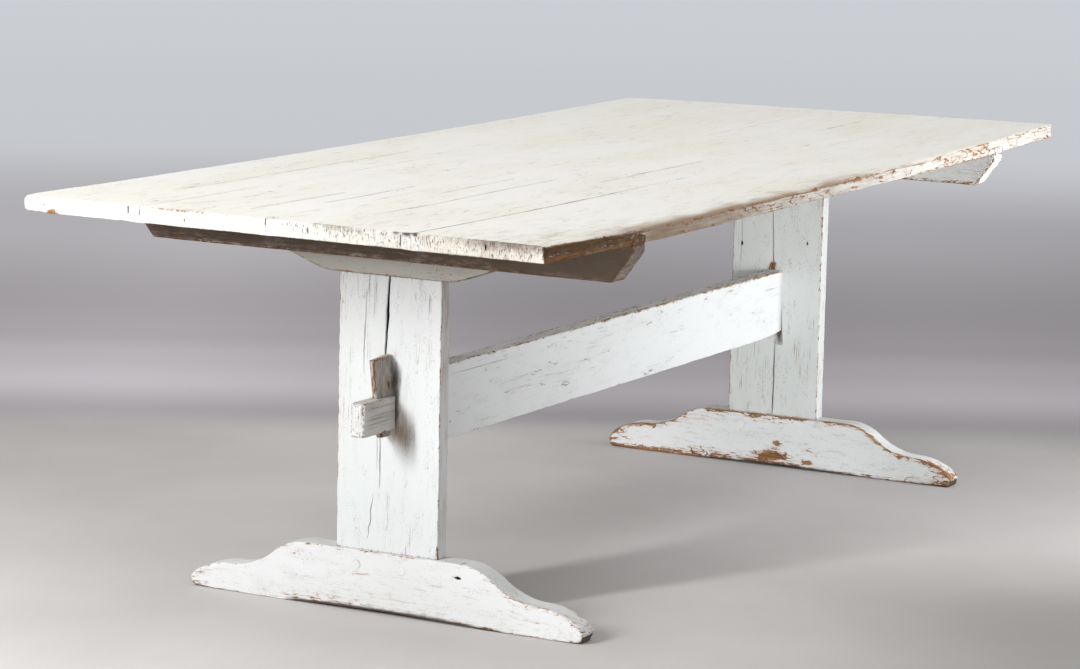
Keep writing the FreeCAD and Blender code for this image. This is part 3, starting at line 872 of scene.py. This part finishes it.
# Upright cracks: side, place across, span, half width and depth in mm, and taper
LEFT_LEG_CRACKS = [
    (LEFT, 0.003, (0.448, 0.615), 3.8, 16, 0.18),
    (LEFT, 0.016, (0.222, 0.34), 0.4, 3, 0.05),
    (LEFT, 0.022, (0.255, 0.33), 0.2, 2, 0.04),
    (LEFT, 0.031, (0.128, 0.212), 0.3, 3, 0.03),
    (LEFT, 0.043, (0.565, 0.62), 0.45, 3, 0.04),
    (LEFT, 0.047, (0.42, 0.575), 0.2, 2, 0.04),
    (LEFT, -0.079, (0.538, 0.576), 0.45, 2, 0.02),
    (RIGHT, -0.02, (0.43, 0.62), 0.8, 5, 0.05),
]
RIGHT_LEG_CRACKS = [
    (LEFT, 0.002, (0.405, 0.62), 0.7, 5, 0.04),
    (LEFT, 0.0008, (0.09, 0.275), 1.0, 6, 0.04),
    (LEFT, 0.078, (0.476, 0.53), 0.6, 3, 0.02),
    (LEFT, 0.0785, (0.467, 0.478), 3.2, 8, 0.004),
    (LEFT, -0.074, (0.480, 0.488), 2.4, 8, 0.004),
    (RIGHT, 0.02, (0.43, 0.62), 0.7, 5, 0.05),
]
# Grime round the left tusk, with painted shadow of the tusk and wedge on the leg below and right of it in the
# darker and browner marks, and a bruise over the right housing with dirt in its pocket
LEFT_LEG_MARKS = [
    ("soil_and_shade", (-0.753, -0.017, 0.362), (0.01, 0.006, 0.036), 0.8),
    ("stain", (-0.753, -0.024, 0.325), (0.01, 0.018, 0.016), 0.3),
    ("soil_and_shade", (-0.753, -0.014, 0.425), (0.01, 0.012, 0.034), 0.7),
    ("soil_and_shade", (-0.753, -0.036, 0.335), (0.01, 0.022, 0.055), 0.1),
    ("stain", (-0.753, -0.03, 0.333), (0.01, 0.023, 0.052), 0.5),
]
RIGHT_LEG_MARKS = [
    ("rub", (0.8435, 0.004, 0.43), (0.02, 0.009, 0.011), 0.75),
    ("soil_and_shade", (0.8435, 0.0, 0.43), (0.02, 0.008, 0.012), 0.25),
    ("soil_and_shade", (0.8505, -0.009, 0.298), (0.004, 0.012, 0.045), 1.2),
]

left_leg = plank_leg(LEFT_FACE, -1, 181, LEFT_LEG_CRACKS, None, left_wander, LEFT_LEG_MARKS)
right_leg = plank_leg(RIGHT_FACE, 1, 199, RIGHT_LEG_CRACKS, POCKET, right_wander, RIGHT_LEG_MARKS)
place("left_leg_plank", "left_leg", "frame", left_leg_finish, join(left_leg))
place("right_leg_plank", "right_leg", "frame", right_leg_finish, join(right_leg))


# The stretcher with its tusks, the wedges and the pegs

# Cracks along the rail and the tusks: height, start and end, and half width in mm
RAIL_CRACKS = [(0.412, -0.70, -0.62, 0.4), (0.401, -0.56, -0.36, 0.2), (0.388, 0.76, 0.84, 0.3),
               (0.372, 0.78, 0.84, 0.25)]
TUSK_CRACKS = [(0.379, 0.01, 0.112, 0.1), (0.366, 0.0, 0.1, 0.12), (0.3605, 0.05, 0.112, 0.08),
               (0.352, 0.02, 0.11, 0.1)]
RAIL_END_RUN, RAIL_END_RISE = 0.11, 8 * MM
# Along X, outwards from a leg's middle
TUSK_INNER, TUSK_OUTER, SLOT_INNER, SLOT_OUTER = -0.004, 0.120, 0.009, 0.0156
SLOT_HALF = 7.3 * MM
WEDGE_LOW, WEDGE_LENGTH, WEDGE_BACK, WEDGE_WIDE = 0.319, 0.141, 0.0153, 0.058


def wedge_reach(z):
    """How far a wedge stands out from its leg at a height: tapered from its top to its foot."""
    return (30 + 28 * np.clip((z - WEDGE_LOW) / WEDGE_LENGTH, -0.2, 1.1)) * MM


def rail():
    """The stretcher's long board, housed in both legs, its lower edge eased up at its ends."""
    left, right = LEFT_FACE + HOUSING_INSET, RIGHT_FACE - HOUSING_INSET
    cracks = [crack_on(FRONT, Z, z, X, (start, end), half, 1.5, 0.05) for z, start, end, half in RAIL_CRACKS]
    t = Timber((left, rail_front, RAIL_LOW), (right, rail_back, RAIL_HIGH), (7, 5, 5), cracks)
    from_left, from_right = t.flat[:, X] - left, right - t.flat[:, X]
    rise = sum(level_arc(RAIL_END_RUN, RAIL_END_RISE, RAIL_END_RUN - away) for away in (from_left, from_right))
    t.fit(Z, RAIL_LOW + rise, RAIL_HIGH)
    on_top = fade(RAIL_HIGH - t.p[:, Z], 0.004)
    t.rub += 0.16 * on_top
    t.soil_and_shade += 0.14 * on_top
    t.stain += 0.2 * on_top
    t.wear(211, X, 2.2 * MM, 2.0 * MM, 0.3, 3 * MM, 0.7 * MM)
    return t


def tusk(face, outward, seed):
    """A tusk tenon through its leg, with the wedge's slot through it and a well rounded end."""
    inner, outer, slot_inner = (face + outward * reach for reach in (TUSK_INNER, TUSK_OUTER, SLOT_INNER))
    slot_outer = face + outward * (SLOT_OUTER + wedge_reach(TUSK_HIGH))
    slot = ((min(slot_inner, slot_outer), TUSK_Y - SLOT_HALF, 0.0),
            (max(slot_inner, slot_outer), TUSK_Y + SLOT_HALF, 1.0))
    shakes = [crack_on(FRONT, Z, z, X, sorted((face + outward * start, face + outward * end)), half, 1.5, 0.03)
              for z, start, end, half in TUSK_CRACKS]
    t = Timber((min(inner, outer), TUSK_Y - TUSK_HALF, TUSK_LOW),
               (max(inner, outer), TUSK_Y + TUSK_HALF, TUSK_HIGH), (4, 4, 4), shakes, [slot])
    x, y, z = t.flat.T
    out = fade(np.abs(x - outer), 0.006)
    t.rub += 0.07
    t.stain += 0.42 - 0.2 * out
    t.soil_and_shade += 0.1 + 0.1 * out
    t.wear(seed, X, (2.5 + 4 * out) * MM, (1.5 + 2.5 * out) * MM, 0.34, 3.2 * MM, 0.9 * MM)
    slot_wall = (np.abs(x - slot_outer) < TINY) & (np.abs(y - TUSK_Y) < SLOT_HALF + 0.1 * MM)
    t.p[:, X] = np.where(slot_wall, face + outward * (SLOT_OUTER + wedge_reach(z)), t.p[:, X])
    return t


place("stretcher_rail", "stretcher", "frame", stretcher_finish,
      join(rail(), tusk(LEFT_FACE, -1, 223), tusk(RIGHT_FACE, 1, 227)))


def key_wedge(name, face, outward, seed, marks=()):
    """A wedge: straight against the leg, sloping and thinner on its outer side, its top falling outwards."""
    low, high = box_of(name)
    t = Timber(low, high, (3, 2, 4))
    back = face + outward * WEDGE_BACK
    front = back + outward * wedge_reach(t.p[:, Z])
    t.fit(X, np.minimum(back, front), np.maximum(back, front))
    out = np.clip(np.abs(t.p[:, X] - back) / WEDGE_WIDE, 0, 1)
    t.fit(Z, low[Z], high[Z] - 3 * MM * out)
    t.fit(Y, low[Y] + 4 * MM * out, high[Y] - 1 * MM * out)
    t.rub += 0.1 * step(0.7, 1.0, out) + 0.06
    t.soil_and_shade += 0.34
    t.wear(seed, Z, 1.5 * MM, 1.6 * MM, 0.38, 4 * MM, 0.35 * MM)
    t.mark(marks)
    return t


LEFT_WEDGE_MARKS = [("rub", (-0.766, -0.0065, 0.412), (0.005, 0.004, 0.006), 0.8)]
left_key = key_wedge("left_wedge", LEFT_FACE, -1, 241, LEFT_WEDGE_MARKS)
right_key = key_wedge("right_wedge", RIGHT_FACE, 1, 251)
place("left_wedge_key", "left_wedge", "left_wedge", wedge_finish, join(left_key))
place("right_wedge_key", "right_wedge", "right_wedge", wedge_finish, join(right_key))

PEG_SIDES = 36
# The peg's profile: places along its half length, and shares of its radius there
PEG_ALONG = np.array([-1, -1, -1, -1, -0.985, -0.95, 0, 0.95, 0.985, 1, 1, 1, 1])
PEG_ROUND = np.array([0.0, 0.35, 0.7, 0.9, 0.99, 1, 1, 1, 0.99, 0.9, 0.7, 0.35, 0.0])


def draw_peg(name, seed):
    """A peg along X with a slightly domed, uneven head at both ends: a profile turned about its own line."""
    low, high = box_of(name)
    middle, half = (low + high) / 2, (high - low) / 2
    along = PEG_ALONG * (half[X] - 0.7 * MM)
    along = along + 0.2 * MM * (1 - PEG_ROUND ** 2) * np.sign(along)
    turn = np.linspace(0, 2 * np.pi, PEG_SIDES, endpoint=False)
    points = np.stack([np.repeat(along, PEG_SIDES), np.outer(PEG_ROUND, np.cos(turn)).ravel() * half[Z],
                       np.outer(PEG_ROUND, np.sin(turn)).ravel() * half[Z]], axis=1) + middle
    on_head = np.repeat(PEG_ROUND, PEG_SIDES) < 0.95
    points[:, X] += 0.15 * MM * noise(points, 0.01, seed) * on_head
    row, column = np.meshgrid(np.arange(len(PEG_ROUND) - 1), np.arange(PEG_SIDES), indexing="ij")
    after = (column + 1) % PEG_SIDES
    first, second = row * PEG_SIDES, (row + 1) * PEG_SIDES
    quads = np.stack([second + column, second + after, first + after, first + column], axis=-1).reshape(-1, 4)
    rim = np.repeat(step(0.9, 1.0, PEG_ROUND), PEG_SIDES)
    fields = {"rub": PLAIN_RUB + 0.1 * rim, "soil_and_shade": PLAIN_SOIL + 0.4 * rim, "stain": 0 * rim,
              "split": 0 * rim + NO_CRACK, "end": 0 * rim + 1}
    return points, quads, fields


for side in ("left", "right"):
    for spot in ("foot_back", "foot_front", "saddle_back", "saddle_front"):
        node = f"{side}_{spot}_peg"
        place(node + "_turned", node, "frame", peg_finish, draw_peg(node, 300 + len(node)))


# Floor, light and camera

# The camera fitted to the photograph: degrees, metres and pixels
HEADING, PITCH, ROLL = np.radians([28.397, 9.326, 1.237])
CAMERA_PLACE = (-6.064452, -3.16773, 1.517741)
FOCAL_PIXELS, PHOTO_PIXELS = 3611.924, 1080
SENSOR_MM = 36.0
FAR_CLIP = 200.0

# Level directions over the floor: away from the camera, and to its right
BACKWARDS, SIDEWAYS = (0.8797, 0.4756, 0.0), (0.4756, -0.8797, 0.0)
# Brightness of the ground at depths in metres behind the table's middle: painted bands of studio light and
# shade
GROUND_STEPS = ((-1.2, 0.6), (0.9, 0.37), (1.2, 0.335), (1.6, 0.46), (1.95, 0.41), (2.3, 0.345), (2.8, 0.325),
                (4.4, 0.41), (6.8, 0.585), (14.0, 0.62))
PLAIN_GROUND = 0.5
NEAR_TINT, FAR_TINT, PLAIN_TINT = (1.0, 0.945, 0.995), (0.965, 1.0, 1.055), (1.0, 0.985, 0.995)
FLOOR_DARK, FLOOR_LIGHT = (0.62, 0.598, 0.592), (0.67, 0.648, 0.642)
FLOOR_HALF, FLOOR_CELLS = 60.0, 12

AMBIENT = 0.25
AMBIENT_TINT, FAR_GROUND = (0.97, 0.98, 1.0, 1.0), (0.61, 0.63, 0.67, 1.0)
# Each lamp: its place, what it faces, size, watts, colour and spread in degrees
LAMPS = {
    "left_softbox": ((-3.3, 1.05, 1.55), (-0.75, 0.0, 0.45), (0.26, 1.2), 76, (1.0, 1.0, 1.0), 180),
    "top_softbox": ((-0.2, 0.0, 3.4), (-0.2, 0.0, 0.7), (5.6, 5.0), 100, (1.0, 0.985, 0.95), 180),
    "right_softbox": ((0.88, -1.7, 0.6), (0.7, 0.0, 0.45), (0.7, 0.7), 8.4, (0.95, 0.975, 1.0), 110),
    "front_softbox": ((-3.0, -1.6, 0.5), (0.85, -0.05, 0.35), (0.4, 0.4), 1.5, (0.97, 0.985, 1.0), 25),
}


def floor_finish():
    """Pale studio floor that keeps the shadow near the table, with painted shade towards the back and in the
    right front corner, and fades to a soft ground of painted studio light round it.
    """
    made = Finish(bpy.data.materials.new("studio_floor"))
    where = made.add("TexCoord").outputs["Object"]
    away = made.add("VectorMath", {0: where}, operation="LENGTH").outputs["Value"]
    depth, aside = (made.add("VectorMath", {0: where, 1: line}, operation="DOT_PRODUCT").outputs["Value"]
                    for line in (BACKWARDS, SIDEWAYS))
    off_side = made.math("ABSOLUTE", aside)

    # The floor itself, with painted shade: darker towards the back beside the table and in the right front
    # corner
    mottle = made.add("TexNoise", {"Vector": where, "Scale": 2.2, "Detail": 4.0}).outputs[0]
    near = made.mix(made.ramp(mottle, 0.3, 0.7), FLOOR_DARK, FLOOR_LIGHT)
    painted_floor_shade = made.product(made.ramp(depth, -0.9, 0.7), made.ramp(off_side, 0.2, 1.1, 0.03, 0.21))
    near = made.mix(painted_floor_shade, near, PAINTED_SHADE_BLACK)
    corner = made.product(made.ramp(aside, 0.1, 0.8), made.ramp(depth, 0.0, -0.6), 0.36)
    near = made.mix(corner, near, PAINTED_SHADE_BLACK)
    diffuse = made.add("BsdfDiffuse", {"Color": near})

    # The ground, painted with studio light and shade: its brightness steps back with the depth, slopes across,
    # dips behind the table as a painted shadow, and is plain out to the sides
    level = GROUND_STEPS[0][1]
    for (start, _), (end, value) in zip(GROUND_STEPS, GROUND_STEPS[1:]):
        level = made.blend(made.ramp(depth, start, end), level, value)
    slope = made.total(made.ramp(aside, -3.0, 3.0, 0.32, -0.22), made.ramp(aside, -1.7, -1.0, -0.14, 0.0),
                       made.ramp(off_side, 0.0, 1.1, -0.2, 0.0))
    level = made.product(level, made.math("MULTIPLY_ADD", slope, made.ramp(depth, 6.0, 3.5), 1.0))
    plain = made.ramp(made.math("MULTIPLY_ADD", depth, -0.15, off_side), 1.4, 2.4)
    level = made.blend(plain, level, PLAIN_GROUND)
    tint = made.mix(made.ramp(depth, 2.0, 8.0), NEAR_TINT, FAR_TINT)
    glow = made.add("Emission", {"Color": made.mix(plain, tint, PLAIN_TINT), "Strength": level})

    far = made.math("MAXIMUM", made.ramp(depth, 0.95, 1.3), made.ramp(away, 1.6, 2.1))
    share = made.product(made.looked_at(), far)
    both = made.add("MixShader", {0: share, 1: diffuse.outputs[0], 2: glow.outputs[0]})
    made.add("OutputMaterial", {"Surface": both.outputs[0]})
    return made.owner


def studio_floor():
    """A wide flat grid of quads at floor height."""
    lines = FLOOR_CELLS + 1
    side = np.linspace(-FLOOR_HALF, FLOOR_HALF, lines)
    grid = np.stack(np.meshgrid(side, side, [0.0], indexing="ij"), axis=-1).reshape(-1, 3)
    row, column = np.meshgrid(np.arange(FLOOR_CELLS), np.arange(FLOOR_CELLS), indexing="ij")
    first = (row * lines + column).ravel()
    quads = np.stack([first, first + lines, first + lines + 1, first + 1], axis=1)
    mesh = bpy.data.meshes.new("studio_floor")
    mesh.from_pydata(grid.tolist(), [], quads.tolist())
    mesh.materials.append(floor_finish())
    floor = bpy.data.objects.new("studio_floor", mesh)
    bpy.context.scene.collection.objects.link(floor)


def hang(name, data, at, across, up, back):
    """A lamp or camera at a place, turned to three square directions; it looks against the last one."""
    turn = np.eye(4)
    turn[:3] = np.stack([across, up, back, at], axis=1)
    holder = bpy.data.objects.new(name, data)
    bpy.context.scene.collection.objects.link(holder)
    holder.matrix_world = Matrix(turn.tolist())
    return holder


def softbox(name, at, towards, size, watts, colour, spread):
    """A rectangular lamp at a place, turned to face another, its beam held to a spread."""
    lamp = bpy.data.lights.new(name, "AREA")
    lamp.shape = "RECTANGLE"
    lamp.size, lamp.size_y = size
    lamp.energy = watts
    lamp.color = colour
    lamp.spread = math.radians(spread)
    back = np.subtract(at, towards)
    back /= np.linalg.norm(back)
    across = np.cross((0, 0, 1), back)
    length = np.linalg.norm(across)
    across = across / length if length > TINY else np.array((1.0, 0.0, 0.0))
    hang(name, lamp, at, across, np.cross(back, across), back).visible_camera = False


def studio_light():
    """Even light from all round, with a plain pale ground wherever the camera sees past the floor."""
    world = bpy.data.worlds.new("studio")
    bpy.context.scene.world = world
    made = Finish(world)
    lit = made.add("Background", {"Color": AMBIENT_TINT, "Strength": AMBIENT})
    ground = made.add("Background", {"Color": FAR_GROUND})
    both = made.add("MixShader", {0: made.looked_at(), 1: lit.outputs[0], 2: ground.outputs[0]})
    made.add("OutputWorld", {"Surface": both.outputs[0]})


def photo_camera():
    """The camera fitted to the photograph: its place, heading, tilt, roll and lens."""
    ahead = np.array([np.cos(HEADING) * np.cos(PITCH), np.sin(HEADING) * np.cos(PITCH), -np.sin(PITCH)])
    right = np.array([np.sin(HEADING), -np.cos(HEADING), 0.0])
    up = np.cross(right, ahead)
    lens = bpy.data.cameras.new("photo_camera")
    lens.sensor_fit = "HORIZONTAL"
    lens.sensor_width = SENSOR_MM
    lens.lens = SENSOR_MM * FOCAL_PIXELS / PHOTO_PIXELS
    lens.clip_end = FAR_CLIP
    across, upwards = np.cos(ROLL) * right + np.sin(ROLL) * up, np.cos(ROLL) * up - np.sin(ROLL) * right
    bpy.context.scene.camera = hang("photo_camera", lens, CAMERA_PLACE, across, upwards, -ahead)


studio_floor()
studio_light()
for name, lamp in LAMPS.items():
    softbox(name, *lamp)
photo_camera()
bpy.context.scene.view_settings.view_transform = "Standard"
